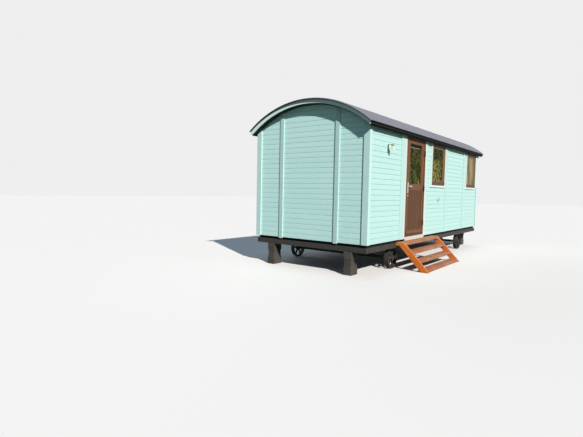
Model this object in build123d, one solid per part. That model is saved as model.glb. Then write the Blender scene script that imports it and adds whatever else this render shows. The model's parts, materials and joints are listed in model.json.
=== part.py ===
from build123d import *
import os
from math import sqrt

# Shepherds hut: a long boarded cabin with an arched iron roof, on a steel chassis.
# X runs along the hut, Y across it (the door side faces -Y), Z up from the ground.
# The origin is on the ground, under the middle of everything the hut covers.
# Sizes are millimetres.

# Body
BODY_L = 7150            # over the trim of both end walls
BODY_W = 2720            # over the trim of both side walls
WALL_H = 2183            # foot of the wall to the roof, at the side walls' trim
GROUND_CLEAR = 600       # ground to the foot of the walls
TRIM_T = 20              # trim boards, proud of the wall boarding
WALL_T = 85              # boarding, frame and lining together
HEAD_H = 2155            # wall foot to the top of the door and window openings

# Roof
DECK_T = 92              # arched timber and insulation
SHEET_T = 20             # depth of the corrugated sheets
EAVE_OUT = 115           # sheets past the side walls' trim
SHEET_LIP = 30           # sheets past the eave boards
GABLE_OUT = 165          # sheets past the end walls' trim
BARGE_BACK = 45          # sheets past the bargeboards
BARGE_T = 25
BARGE_D = 80
EAVE_T = 20
EAVE_RISE = 40           # eave board's foot above the deck's lower edge
EAVE_BEAD_H = 16         # small bead along the eave board's foot
EAVE_BEAD_OUT = 10
LAP_PITCH = 2350         # between the joints of the sheets
LAP_GAP = 2
SHEET_COUNT = 4
ARCH_R = 2170            # inner radius of the arch

# Trim
CORNER_END_W = 125
CORNER_SIDE_W = 95
STRIP_W = 92
END_STRIP_OFF = 672      # end wall strips from the middle
STRIP_DROP = 20          # end wall strips below the wall foot
FRONT_STRIP_AFTER = 138  # strip past the near window
FRONT_STRIP_BEFORE = 270 # strip before the far window
BACK_STRIPS = 3

# Floor and chassis
FLOOR_T = 60
BASE_T = 55              # bearers between floor and chassis
BASE_BACK = 60           # bearers set back from the trim
RAIL_H = 100
RAIL_W = 50
RAIL_T = 6
RAIL_BACK = 28           # chassis set back from the trim
CROSS_W = 50
CROSS_H = 80
CROSS_COUNT = 6

# Wheels and axles
WHEEL_R = 220
WHEEL_W = 90
WHEEL_INSET = 1350       # wheel centres from the end trim
WHEEL_BACK = 105         # wheel's outer face from the side trim
RIM_T = 22
HUB_R = 52
HUB_L = 112
HUB_BORE_END = 14        # closed end of the hub
SPOKES = 6
SPOKE_HUB_W = 34         # across the spoke, at the hub
SPOKE_RIM_W = 20         # and at the rim
SPOKE_HUB_T = 40         # along the axle, at the hub
SPOKE_RIM_T = 22         # and at the rim
SPINDLE_R = 20
RUNNING_FIT = 0.1
SPINDLE_END_GAP = 3
AXLE_SQ = 55
AXLE_SHOULDER = 6        # axle bar to hub
HANGER_W = 60
HANGER_OFF = 760         # axle hangers from the middle

# Stacks that carry the chassis
STACK_W = 175
STACK_L = 240
STACK_INSET = 330        # from the side trim
STACK_COURSES = 3
STACK_STEP = 8           # alternate courses stand in

# Door
DOOR_X = 1660            # near end trim to the door opening
DOOR_W = 1050
POST_W = 40
STOP_W = 15
DOOR_GAP = 8             # round the leaf, so that its free edge clears the post
SILL_H = 22
THRESHOLD_H = 40         # above the wall foot
THRESHOLD_DROP = 36       # its nosing below the wall foot
THRESHOLD_OUT = 18
LEAF_T = 44
LEAF_IN = 10             # leaf behind the frame's face
STILE_W = 150
TOP_RAIL_H = 70
PANEL_H = 965            # boarded panel's top above the leaf's foot
PANEL_FOOT = 105
MID_RAIL_H = 130
PANEL_EDGE = 95          # boarded panel from the leaf's sides
PANEL_SINK = 6
BOARD_COUNT = 8
GROOVE_W = 6
GROOVE_D = 4
GLASS_T = 6
BLIND_BOX = 32           # head box, square in section
BLIND_DROP = 66
BLIND_T = 3
BLIND_BAR = 10

# Hinges
HINGE_OUT = 12           # pin in front of the frame's face
KNUCKLE_R = 8
PIN_R = 4
KNUCKLE_L = 60
KNUCKLE_GAP = 1
HINGE_PLATE_T = 3
HINGE_LEAF_W = 58
HINGE_POST_W = 36
HINGE_WEB_W = 8
HINGE_END = 240          # outer hinges from the leaf's top and foot

# Handle
HANDLE_H = 1048          # lever's axis above the leaf's foot
HANDLE_BACKSET = 60
PLATE_W = 42
PLATE_H = 242
PLATE_T = 9
PLATE_DROP = 27          # plate's centre below the lever
LOCK_DROP = 200          # lock's centre below the lever
LOCK_R = 17
LOCK_T = 10
PLATE_CORNER = 9
LEVER_H = 20             # the flat bar's height
LEVER_T = 14             # and its thickness
LEVER_OUT = 50           # its middle in front of the leaf
LEVER_L = 120
BOSS_R = 15
BOSS_T = 8
SEAT_GAP = 0.3

# Windows
SILL_Z = 1176            # wall foot to the window opening
WINDOW_W = 905
NEAR_WINDOW_X = 3172     # near end trim to the near window
FAR_WINDOW_X = 275       # far end trim to the far window
FRAME_W = 38
FRAME_IN = 4
FRAME_T = 70
CASEMENT_W = 52
CASEMENT_IN = 16
CASEMENT_T = 44
WINDOW_TRIM_W = 70
SILL_BOARD_H = 30
SILL_BOARD_OUT = 12
LOCK_TRIM_W = 62         # pale board at the door's lock side
HINGE_TRIM_W = 120       # and at its hinge side
DOOR_STRIP_W = 200       # wide strip beside the lock side's board

# Small fittings on the door side
LAMP_X = 770
LAMP_Z = 1824
LAMP_BAR_W = 26
LAMP_BAR_H = 158
LAMP_BAR_T = 14
LAMP_ARM_W = 12
LAMP_ARM_OUT = 92        # the bar's face to the lantern's middle
LAMP_GLASS_W = 58
LAMP_GLASS_H = 88
LAMP_GLASS_FOOT_W = 42
LAMP_CAP_W = 72
LAMP_CAP_H = 16
LAMP_CAP_TOP_W = 26
HOOK_X = 3675
HOOK_Z = 810
HOOK_H = 120
HOOK_W = 34
HOOK_T = 5
HOOK_BAR = 12
HOOK_OUT = 34

# Steps
STEP_NEAR_X = 1310       # near end trim to the steps
STEP_W = 2000
STRINGER_T = 40
STRINGER_W = 170         # measured level
STRINGER_REACH = 178     # chassis rail to the front edge of the stringer's top
STRINGER_TOP = 38        # below the wall foot
HORN_H = 70              # level arm from the stringer's top to the chassis rail
STEP_RISE = 167
STEP_GOING = 159
TREAD_D = 190
TREAD_T = 60
TREAD_COUNT = 4          # the lowest lies just clear of the ground
TREAD_NOSE = 20          # tread past the stringer's front edge

# Worked-out places
SLOPE = STEP_GOING / STEP_RISE
STRINGER_H = GROUND_CLEAR - STRINGER_TOP
STEP_REACH = STRINGER_H * SLOPE + STRINGER_REACH - RAIL_BACK
Y_MID = (STEP_REACH - EAVE_OUT) / 2
NEAR = -BODY_L / 2
FAR = BODY_L / 2
FRONT = Y_MID - BODY_W / 2
BACK = Y_MID + BODY_W / 2
FOOT = GROUND_CLEAR
HEAD = FOOT + HEAD_H
FLOOR_Z = FOOT + FLOOR_T
WALL_IN = TRIM_T + WALL_T
ARCH_Z = FOOT + WALL_H - sqrt(ARCH_R**2 - (BODY_W / 2) ** 2)
SHEET_R = ARCH_R + DECK_T
RAIL_Z = FOOT - BASE_T - RAIL_H

door_x0 = NEAR + DOOR_X
door_x1 = door_x0 + DOOR_W
near_win_x0 = NEAR + NEAR_WINDOW_X
far_win_x0 = FAR - FAR_WINDOW_X - WINDOW_W
windows = [(near_win_x0, near_win_x0 + WINDOW_W), (far_win_x0, far_win_x0 + WINDOW_W)]
leaf_x0 = door_x0 + POST_W + DOOR_GAP
leaf_x1 = door_x1 - POST_W - DOOR_GAP
leaf_z0 = FOOT + THRESHOLD_H + SILL_H + DOOR_GAP
leaf_z1 = HEAD - POST_W - DOOR_GAP
leaf_y0 = FRONT + LEAF_IN
leaf_y1 = leaf_y0 + LEAF_T


def block(x0, x1, y0, y1, z0, z1):
    """A box between two corners."""
    centre = Pos((x0 + x1) / 2, (y0 + y1) / 2, (z0 + z1) / 2)
    return centre * Box(x1 - x0, y1 - y0, z1 - z0)


def barrel(radius, x0, x1):
    """A solid round the arch's axis, between two places along the hut."""
    centre = Pos((x0 + x1) / 2, Y_MID, ARCH_Z)
    return centre * Rot(0, 90, 0) * Cylinder(radius, x1 - x0)


def under_roof(solid):
    """Cuts the top of a wall or a trim board to the arch."""
    return solid & barrel(ARCH_R, NEAR, FAR)


def ring(x0, x1, z0, z1, width, y0, y1):
    """A rectangular frame that stands in a wall."""
    outer = block(x0, x1, y0, y1, z0, z1)
    return outer - block(x0 + width, x1 - width, y0, y1, z0 + width, z1 - width)


# Chassis

def channel(length):
    """A rolled steel channel along X: its web at Y = 0, its flanges towards +Y."""
    profile = Polyline(
        (0, 0), (RAIL_W, 0), (RAIL_W, RAIL_T), (RAIL_T, RAIL_T), (RAIL_T, RAIL_H - RAIL_T),
        (RAIL_W, RAIL_H - RAIL_T), (RAIL_W, RAIL_H), (0, RAIL_H), close=True,
    )
    return extrude(Plane.YZ * make_face(profile), length)


def chassis_rails():
    """Two long channels under the side walls."""
    length = BODY_L - 2 * RAIL_BACK
    front = Pos(NEAR + RAIL_BACK, FRONT + RAIL_BACK, RAIL_Z) * channel(length)
    return [front, mirror(front, Plane.XZ.offset(-Y_MID))]


def end_beams():
    """Two channels across the ends, between the long ones."""
    length = BODY_W - 2 * RAIL_BACK - 2 * RAIL_T
    turned = Rot(0, 0, -90) * channel(length)
    near = Pos(NEAR + RAIL_BACK, BACK - RAIL_BACK - RAIL_T, RAIL_Z) * turned
    near = near - block(NEAR, FAR, BACK - RAIL_BACK - RAIL_W, BACK, RAIL_Z, FOOT)
    near = near - block(NEAR, FAR, FRONT, FRONT + RAIL_BACK + RAIL_W, RAIL_Z, FOOT)
    return [near, mirror(near, Plane.YZ)]


def cross_places():
    """Evenly spaced cross members; the wheels' axles hang from their own."""
    inner = BODY_L / 2 - WHEEL_INSET
    step = 2 * inner / (CROSS_COUNT - 1)
    return [-inner + i * step for i in range(CROSS_COUNT)]


def cross_members():
    """Square tubes between the long rails, flush with their tops."""
    top = FOOT - BASE_T
    y0 = FRONT + RAIL_BACK + RAIL_W
    y1 = BACK - RAIL_BACK - RAIL_W
    return [block(x - CROSS_W / 2, x + CROSS_W / 2, y0, y1, top - CROSS_H, top) for x in cross_places()]


def stacks():
    """Four stacks of timber blocks under the end beams."""
    course = RAIL_Z / STACK_COURSES
    solids = []
    for x0, inward in ((NEAR + RAIL_BACK, 1), (FAR - RAIL_BACK, -1)):
        for side in (-1, 1):
            y = Y_MID + side * (BODY_W / 2 - STACK_INSET - STACK_W / 2)
            stack = None
            for i in range(STACK_COURSES):
                shrink = STACK_STEP * (i % 2)
                ends = sorted((x0 + inward * shrink, x0 + inward * (STACK_L - shrink)))
                half = STACK_W / 2 - shrink
                layer = block(*ends, y - half, y + half, i * course, (i + 1) * course)
                stack = layer if stack is None else stack + layer
            solids.append(stack)
    return solids


# Wheels, with a closed hub and open spokes

def spoke():
    """A spoke along +X that tapers from the hub to the rim, both across and along the axle."""
    root, tip = HUB_R / 2, WHEEL_R - RIM_T / 2
    across = Polyline(
        (root, -SPOKE_HUB_W / 2), (tip, -SPOKE_RIM_W / 2), (tip, SPOKE_RIM_W / 2), (root, SPOKE_HUB_W / 2),
        close=True,
    )
    along = Polyline(
        (root, -SPOKE_HUB_T / 2), (tip, -SPOKE_RIM_T / 2), (tip, SPOKE_RIM_T / 2), (root, SPOKE_HUB_T / 2),
        close=True,
    )
    flat = extrude(make_face(across), SPOKE_HUB_T / 2, both=True)
    return flat & extrude(Plane.XZ * make_face(along), SPOKE_HUB_W / 2, both=True)


def wheel(x, side):
    """One cast wheel; side is -1 at the door side and 1 at the back."""
    solid = Cylinder(WHEEL_R, WHEEL_W) - Cylinder(WHEEL_R - RIM_T, WHEEL_W)
    solid = solid + Cylinder(HUB_R, HUB_L)
    for i in range(SPOKES):
        solid = solid + Rot(0, 0, 360 * i / SPOKES) * spoke()
    solid = solid - Pos(0, 0, -HUB_BORE_END) * Cylinder(SPINDLE_R + RUNNING_FIT, HUB_L)
    centre_y = Y_MID + side * (BODY_W / 2 - WHEEL_BACK - WHEEL_W / 2)
    return Pos(x, centre_y, WHEEL_R) * Rot(90 if side < 0 else -90, 0, 0) * solid


def axle(x):
    """A square axle with round ends, hung from the cross member above it."""
    hub_in = BODY_W / 2 - WHEEL_BACK - WHEEL_W / 2 - HUB_L / 2
    half = hub_in - AXLE_SHOULDER
    bar = Pos(x, Y_MID, WHEEL_R) * Box(AXLE_SQ, 2 * half, AXLE_SQ)
    reach = hub_in + HUB_L - HUB_BORE_END - SPINDLE_END_GAP
    bar = bar + Pos(x, Y_MID, WHEEL_R) * Rot(90, 0, 0) * Cylinder(SPINDLE_R, 2 * reach)
    top = FOOT - BASE_T - CROSS_H
    for side in (-1, 1):
        y = Y_MID + side * HANGER_OFF
        bar = bar + block(
            x - HANGER_W / 2, x + HANGER_W / 2, y - HANGER_W / 2, y + HANGER_W / 2, WHEEL_R, top
        )
    return bar


# Floor and walls

def floor_base():
    """The bearers' platform, set back over the chassis."""
    return block(
        NEAR + BASE_BACK, FAR - BASE_BACK, FRONT + BASE_BACK, BACK - BASE_BACK, FOOT - BASE_T, FOOT
    )


def floor():
    """The boarded floor inside the walls."""
    return block(NEAR + WALL_IN, FAR - WALL_IN, FRONT + WALL_IN, BACK - WALL_IN, FOOT, FLOOR_Z)


def end_wall(near):
    """An end wall with its arched top."""
    x0 = NEAR + TRIM_T if near else FAR - WALL_IN
    slab = block(x0, x0 + WALL_T, FRONT + TRIM_T, BACK - TRIM_T, FOOT, SHEET_R + ARCH_Z)
    return under_roof(slab)


def side_slab(x0, x1, z0, z1, side=-1):
    """A stretch of a side wall; the arch cuts what reaches it."""
    outer, inner = BODY_W / 2 - TRIM_T, BODY_W / 2 - WALL_IN
    y0, y1 = sorted((Y_MID + side * outer, Y_MID + side * inner))
    return under_roof(block(x0, x1, y0, y1, z0, z1))


def front_wall_panels():
    """The full-height stretches beside the door and the windows."""
    edges = [NEAR + WALL_IN, door_x0, door_x1]
    for x0, x1 in windows:
        edges += [x0, x1]
    edges.append(FAR - WALL_IN)
    return [side_slab(edges[i], edges[i + 1], FOOT, HEAD) for i in range(0, len(edges), 2)]


def front_wall_under_windows():
    """The stretches under the two windows."""
    return [side_slab(x0, x1, FOOT, FOOT + SILL_Z) for x0, x1 in windows]


def front_wall_plate():
    """The rail over all the openings, cut to the arch."""
    return side_slab(NEAR + WALL_IN, FAR - WALL_IN, HEAD, FOOT + 2 * WALL_H)


def back_wall():
    """The plain long wall."""
    return side_slab(NEAR + WALL_IN, FAR - WALL_IN, FOOT, FOOT + 2 * WALL_H, side=1)


def trim_side(x0, x1, z0, z1, side=-1):
    """A flat board on a side wall."""
    outer = BODY_W / 2
    y0, y1 = sorted((Y_MID + side * outer, Y_MID + side * (outer - TRIM_T)))
    return under_roof(block(x0, x1, y0, y1, z0, z1))


def corner_boards():
    """Four angle-shaped corner posts."""
    top = FOOT + 2 * WALL_H
    end_leg = block(NEAR, NEAR + TRIM_T, FRONT, FRONT + CORNER_END_W, FOOT, top)
    side_leg = block(NEAR, NEAR + CORNER_SIDE_W, FRONT, FRONT + TRIM_T, FOOT, top)
    first = under_roof(end_leg + side_leg)
    second = mirror(first, Plane.XZ.offset(-Y_MID))
    return [first, second, mirror(first, Plane.YZ), mirror(second, Plane.YZ)]


def end_strips():
    """Two upright strips on each end wall, a little below the wall's foot."""
    solids = []
    for x0 in (NEAR, FAR - TRIM_T):
        for y in (Y_MID - END_STRIP_OFF, Y_MID + END_STRIP_OFF):
            strip = block(
                x0, x0 + TRIM_T, y - STRIP_W / 2, y + STRIP_W / 2, FOOT - STRIP_DROP, FOOT + 2 * WALL_H
            )
            solids.append(under_roof(strip))
    return solids


def side_strips():
    """Upright strips over the joints of the side walls."""
    top = FOOT + 2 * WALL_H
    middles = [windows[0][1] + FRONT_STRIP_AFTER, windows[1][0] - FRONT_STRIP_BEFORE]
    solids = [trim_side(x - STRIP_W / 2, x + STRIP_W / 2, FOOT, top) for x in middles]
    x1 = door_x0 - LOCK_TRIM_W
    solids.append(trim_side(x1 - DOOR_STRIP_W, x1, FOOT, top))
    step = BODY_L / (BACK_STRIPS + 1)
    for i in range(1, BACK_STRIPS + 1):
        x = NEAR + i * step
        solids.append(trim_side(x - STRIP_W / 2, x + STRIP_W / 2, FOOT, top, side=1))
    return solids


def door_trim():
    """Flat boards beside the doorway."""
    return [
        trim_side(door_x0 - LOCK_TRIM_W, door_x0, FOOT, FOOT + 2 * WALL_H),
        trim_side(door_x1, door_x1 + HINGE_TRIM_W, FOOT, FOOT + 2 * WALL_H),
    ]


def window_trim():
    """Flat boards beside the windows."""
    solids = []
    for x0, x1 in windows:
        solids.append(trim_side(x0 - WINDOW_TRIM_W, x0, FOOT + SILL_Z, HEAD))
        solids.append(trim_side(x1, x1 + WINDOW_TRIM_W, FOOT + SILL_Z, HEAD))
    return solids


def window_sills():
    """Projecting boards under the windows."""
    return [
        block(
            x0 - WINDOW_TRIM_W, x1 + WINDOW_TRIM_W, FRONT - SILL_BOARD_OUT, FRONT + TRIM_T,
            FOOT + SILL_Z - SILL_BOARD_H, FOOT + SILL_Z,
        )
        for x0, x1 in windows
    ]


# Roof

def shell(r0, r1, x0, x1, half):
    """An arched layer between two radii, cut upright at its eaves."""
    layer = barrel(r1, x0, x1) - barrel(r0, x0, x1)
    return layer & block(x0, x1, Y_MID - half, Y_MID + half, ARCH_Z, ARCH_Z + 2 * r1)


DECK_HALF = BODY_W / 2 + EAVE_OUT - SHEET_LIP - EAVE_T
BARGE_X = BODY_L / 2 + GABLE_OUT - BARGE_BACK


def roof_deck():
    """The arched deck, out to the back of the bargeboards and eave boards."""
    end = BARGE_X - BARGE_T
    return shell(ARCH_R, SHEET_R, -end, end, DECK_HALF)


def roof_sheets():
    """The sheets over the deck, with a joint at each lap."""
    end = BODY_L / 2 + GABLE_OUT
    laps = [LAP_PITCH * (i - SHEET_COUNT / 2) for i in range(1, SHEET_COUNT)]
    edges = [-end] + laps + [end]
    solids = []
    for i in range(SHEET_COUNT):
        x0 = edges[i] + (LAP_GAP / 2 if i > 0 else 0)
        x1 = edges[i + 1] - (LAP_GAP / 2 if i < SHEET_COUNT - 1 else 0)
        solids.append(shell(SHEET_R, SHEET_R + SHEET_T, x0, x1, BODY_W / 2 + EAVE_OUT))
    return solids


def bargeboards():
    """Arched boards under the sheets at both ends."""
    near = shell(SHEET_R - BARGE_D, SHEET_R, -BARGE_X, -BARGE_X + BARGE_T, DECK_HALF + EAVE_T)
    return [near, mirror(near, Plane.YZ)]


def eave_boards():
    """Upright boards along the deck's lower edges, with a bead at the foot."""
    end = BARGE_X - BARGE_T
    edge = ARCH_Z + sqrt(ARCH_R**2 - DECK_HALF**2)
    z0 = edge + EAVE_RISE
    y1 = Y_MID - DECK_HALF
    y0 = y1 - EAVE_T
    board = block(-end, end, y0, y1, z0, ARCH_Z + SHEET_R) & barrel(SHEET_R, -end, end)
    bead = block(-end, end, y0 - EAVE_BEAD_OUT, y0, z0, z0 + EAVE_BEAD_H)
    front = board + bead
    return [front, mirror(front, Plane.XZ.offset(-Y_MID))]


# Door

def door_posts():
    """The frame's two posts, each with its stop behind the leaf."""
    stop_y = leaf_y1 + DOOR_GAP
    y1 = FRONT + WALL_IN
    near = block(door_x0, door_x0 + POST_W, FRONT, y1, FOOT + THRESHOLD_H, HEAD)
    near = near + block(door_x0, door_x0 + POST_W + STOP_W, stop_y, y1, FOOT + THRESHOLD_H, HEAD)
    return [near, mirror(near, Plane.YZ.offset((door_x0 + door_x1) / 2))]


def door_rails():
    """The frame's head and sill, between its posts."""
    stop_y = leaf_y1 + DOOR_GAP
    y1 = FRONT + WALL_IN
    x0, x1 = door_x0 + POST_W, door_x1 - POST_W
    head = block(x0, x1, FRONT, stop_y, HEAD - POST_W, HEAD)
    head = head + block(x0 + STOP_W, x1 - STOP_W, stop_y, y1, HEAD - POST_W - STOP_W, HEAD)
    z0 = FOOT + THRESHOLD_H
    sill = block(x0, x1, FRONT, stop_y, z0, z0 + SILL_H)
    sill = sill + block(x0 + STOP_W, x1 - STOP_W, stop_y, y1, z0, z0 + SILL_H + STOP_W)
    return [head, sill]


def threshold():
    """The pale board under the door frame, with its nosing."""
    board = block(door_x0, door_x1, FRONT, FRONT + WALL_IN, FOOT, FOOT + THRESHOLD_H)
    nosing = block(
        door_x0, door_x1, FRONT - THRESHOLD_OUT, FRONT, FOOT - THRESHOLD_DROP, FOOT + THRESHOLD_H
    )
    return board + nosing


glass_x0 = leaf_x0 + STILE_W
glass_x1 = leaf_x1 - STILE_W
glass_z0 = leaf_z0 + PANEL_H + MID_RAIL_H
glass_z1 = leaf_z1 - TOP_RAIL_H


def door_leaf():
    """Framed leaf: glazed above, grooved boards below."""
    leaf = block(leaf_x0, leaf_x1, leaf_y0, leaf_y1, leaf_z0, leaf_z1)
    leaf = leaf - block(glass_x0, glass_x1, leaf_y0, leaf_y1, glass_z0, glass_z1)
    x0, x1 = leaf_x0 + PANEL_EDGE, leaf_x1 - PANEL_EDGE
    z0, z1 = leaf_z0 + PANEL_FOOT, leaf_z0 + PANEL_H
    pitch = (x1 - x0) / BOARD_COUNT
    for face, inward in ((leaf_y0, 1), (leaf_y1, -1)):
        sunk = face + inward * PANEL_SINK
        leaf = leaf - block(x0, x1, *sorted((face, sunk)), z0, z1)
        for i in range(1, BOARD_COUNT):
            x = x0 + i * pitch
            groove = sorted((sunk, sunk + inward * GROOVE_D))
            leaf = leaf - block(x - GROOVE_W / 2, x + GROOVE_W / 2, *groove, z0, z1)
    return leaf


def door_glass():
    """The pane in the door."""
    middle = (leaf_y0 + leaf_y1) / 2
    return block(glass_x0, glass_x1, middle - GLASS_T / 2, middle + GLASS_T / 2, glass_z0, glass_z1)


def door_blind():
    """A blind in its head box at the leaf's inner face, a little way down, with its bar."""
    z0 = glass_z1 - BLIND_BOX / 2
    y0 = leaf_y1 + SEAT_GAP
    y = y0 + BLIND_BOX / 2
    box = block(glass_x0, glass_x1, y0, y0 + BLIND_BOX, z0, z0 + BLIND_BOX)
    foot = glass_z1 - BLIND_DROP
    drop = block(glass_x0, glass_x1, y - BLIND_T / 2, y + BLIND_T / 2, foot, z0)
    bar = block(glass_x0, glass_x1, y - BLIND_BAR / 2, y + BLIND_BAR / 2, foot - BLIND_BAR, foot)
    return box + drop + bar


# Door hinges

hinge_x = leaf_x1 + DOOR_GAP / 2
hinge_y = FRONT - HINGE_OUT
HINGE_H = 2 * KNUCKLE_L + KNUCKLE_GAP


def hinge_places():
    """The middles of the three hinges."""
    low, high = leaf_z0 + HINGE_END, leaf_z1 - HINGE_END
    return [low, (low + high) / 2, high]


def hinge_on_post(z):
    """Plate, lower knuckle and pin, fixed to the post."""
    x0 = door_x1 - POST_W + DOOR_GAP / 2
    z0, z1 = z - HINGE_H / 2, z - KNUCKLE_GAP / 2
    solid = block(x0, x0 + HINGE_POST_W, FRONT - HINGE_PLATE_T, FRONT, z0, z + HINGE_H / 2)
    solid = solid + Pos(hinge_x, hinge_y, (z0 + z1) / 2) * Cylinder(KNUCKLE_R, KNUCKLE_L)
    solid = solid + block(hinge_x, x0 + HINGE_WEB_W, hinge_y, FRONT, z0, z1)
    return solid + Pos(hinge_x, hinge_y, z) * Cylinder(PIN_R, HINGE_H)


def hinge_on_leaf(z):
    """Plate and upper knuckle, fixed to the leaf; it lifts off the pin."""
    z0, z1 = z + KNUCKLE_GAP / 2, z + HINGE_H / 2
    solid = block(leaf_x1 - HINGE_LEAF_W, leaf_x1, leaf_y0 - HINGE_PLATE_T, leaf_y0, z - HINGE_H / 2, z1)
    knuckle = Pos(hinge_x, hinge_y, (z0 + z1) / 2) * Cylinder(KNUCKLE_R, KNUCKLE_L)
    web = block(hinge_x - HINGE_WEB_W, hinge_x, hinge_y, leaf_y0, z0, z1)
    solid = solid + knuckle + (web - block(leaf_x1, hinge_x, FRONT, leaf_y0, z0, z1))
    return solid - Pos(hinge_x, hinge_y, z) * Cylinder(PIN_R + RUNNING_FIT, HINGE_H)


# Door handle

handle_x = leaf_x0 + HANDLE_BACKSET
handle_z = leaf_z0 + HANDLE_H


def handle_plates():
    """Long plates on both faces of the leaf, and the lock's rose below the outer one."""
    z = handle_z - PLATE_DROP
    solids = []
    for face, outward in ((leaf_y0, -1), (leaf_y1, 1)):
        y0, y1 = sorted((face, face + outward * PLATE_T))
        plate = block(
            handle_x - PLATE_W / 2, handle_x + PLATE_W / 2, y0, y1, z - PLATE_H / 2, z + PLATE_H / 2
        )
        solids.append(chamfer(plate.edges().filter_by(Axis.Y), PLATE_CORNER))
    rose = Pos(handle_x, leaf_y0 - LOCK_T / 2, handle_z - LOCK_DROP) * Rot(90, 0, 0)
    solids.append(rose * Cylinder(LOCK_R, LOCK_T))
    return solids


def door_handle():
    """Outer and inner levers: a flat bar with a bent neck, on a round boss."""
    solids = []
    z0, z1 = handle_z - LEVER_H / 2, handle_z + LEVER_H / 2
    x0, x1 = handle_x - LEVER_T / 2, handle_x + LEVER_T / 2
    for face, outward in ((leaf_y0, -1), (leaf_y1, 1)):
        seat = face + outward * (PLATE_T + SEAT_GAP)
        near, tip = (face + outward * (LEVER_OUT + side * LEVER_T / 2) for side in (-1, 1))
        bar = block(x0, x1, *sorted((seat, tip)), z0, z1)
        bar = bar + block(x0, handle_x + LEVER_L, *sorted((near, tip)), z0, z1)
        elbow = bar.edges().filter_by(Axis.Z).sort_by_distance((x0, tip, handle_z))[0]
        bar = fillet(elbow, LEVER_T)
        boss = Pos(handle_x, seat + outward * BOSS_T / 2, handle_z) * Rot(90, 0, 0)
        solids.append(bar + boss * Cylinder(BOSS_R, BOSS_T))
    return solids


# Windows

def window_frames():
    """The fixed frames."""
    y0 = FRONT + FRAME_IN
    return [ring(x0, x1, FOOT + SILL_Z, HEAD, FRAME_W, y0, y0 + FRAME_T) for x0, x1 in windows]


def window_casements():
    """The sashes in the frames."""
    y0 = FRONT + CASEMENT_IN
    z0, z1 = FOOT + SILL_Z + FRAME_W, HEAD - FRAME_W
    return [
        ring(x0 + FRAME_W, x1 - FRAME_W, z0, z1, CASEMENT_W, y0, y0 + CASEMENT_T) for x0, x1 in windows
    ]


def window_glass():
    """The panes."""
    edge = FRAME_W + CASEMENT_W
    y = FRONT + CASEMENT_IN + CASEMENT_T / 2
    return [
        block(x0 + edge, x1 - edge, y - GLASS_T / 2, y + GLASS_T / 2, FOOT + SILL_Z + edge, HEAD - edge)
        for x0, x1 in windows
    ]


# Small fittings on the door side

lamp_face = FRONT + TRIM_T - LAMP_BAR_T
lamp_arm_z = FOOT + LAMP_Z + LAMP_BAR_H / 2 - LAMP_ARM_W / 2
lamp_place = Pos(NEAR + LAMP_X, lamp_face - LAMP_ARM_OUT, lamp_arm_z - LAMP_ARM_W / 2 - LAMP_CAP_H)


def pyramid_frustum(foot, top, height):
    """A square block on the XY plane that narrows upwards."""
    side = Polyline((-foot / 2, 0), (foot / 2, 0), (top / 2, height), (-top / 2, height), close=True)
    one_way = extrude(Plane.XZ * make_face(side), foot / 2, both=True)
    return one_way & Rot(0, 0, 90) * one_way


def wall_lamp():
    """A bar on the boards and an arm that ends over the lantern's cap."""
    x = NEAR + LAMP_X
    z = FOOT + LAMP_Z
    bar = block(
        x - LAMP_BAR_W / 2, x + LAMP_BAR_W / 2, lamp_face, lamp_face + LAMP_BAR_T,
        z - LAMP_BAR_H / 2, z + LAMP_BAR_H / 2,
    )
    arm = block(
        x - LAMP_ARM_W / 2, x + LAMP_ARM_W / 2, lamp_face - LAMP_ARM_OUT - LAMP_CAP_TOP_W / 2, lamp_face,
        lamp_arm_z - LAMP_ARM_W / 2, lamp_arm_z + LAMP_ARM_W / 2,
    )
    return bar + arm + lamp_place * pyramid_frustum(LAMP_CAP_W, LAMP_CAP_TOP_W, LAMP_CAP_H)


def wall_lamp_glass():
    """The lantern's tapered glass under its cap."""
    glass = pyramid_frustum(LAMP_GLASS_W, LAMP_GLASS_FOOT_W, LAMP_GLASS_H)
    return lamp_place * Rot(180, 0, 0) * glass


def hold_back_hook():
    """A plate on the wall with the bent bar that holds the door open."""
    x, z, face = NEAR + HOOK_X, FOOT + HOOK_Z, FRONT + TRIM_T
    plate = block(x - HOOK_W / 2, x + HOOK_W / 2, face - HOOK_T, face, z - HOOK_H / 2, z + HOOK_H / 2)
    half = HOOK_BAR / 2
    tip = face - HOOK_T - HOOK_OUT
    bar = block(x - half, x + half, tip - half, face - HOOK_T, z - half, z + half)
    bar = bar + block(x - half, x + half, tip - half, tip + half, z - half, z + HOOK_H / 2)
    elbow = bar.edges().filter_by(Axis.X).sort_by_distance((x, tip - half, z - half))[0]
    return plate + fillet(elbow, HOOK_BAR)


# Steps

def stringer_front(z):
    """The stringers' front edge at a height above the ground."""
    return FRONT + RAIL_BACK - STRINGER_REACH - (STRINGER_H - z) * SLOPE


def step_stringers():
    """Two sloping planks, each with a level arm that meets the chassis rail."""
    rail_y = FRONT + RAIL_BACK
    arm_z = STRINGER_H - HORN_H
    profile = Polyline(
        (rail_y, STRINGER_H), (stringer_front(STRINGER_H), STRINGER_H), (stringer_front(0), 0),
        (stringer_front(0) + STRINGER_W, 0), (stringer_front(arm_z) + STRINGER_W, arm_z),
        (rail_y, arm_z), close=True,
    )
    near = Pos(NEAR + STEP_NEAR_X, 0, 0) * extrude(Plane.YZ * make_face(profile), STRINGER_T)
    return [near, Pos(STEP_W - STRINGER_T, 0, 0) * near]


def step_tread(i):
    """Tread i, counted from the top, housed between the stringers."""
    top = STRINGER_H - i * STEP_RISE
    front = stringer_front(top) - TREAD_NOSE
    x0 = NEAR + STEP_NEAR_X + STRINGER_T
    x1 = NEAR + STEP_NEAR_X + STEP_W - STRINGER_T
    return block(x0, x1, front, front + TREAD_D, top - TREAD_T, top)


# Every node and its solids

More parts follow.
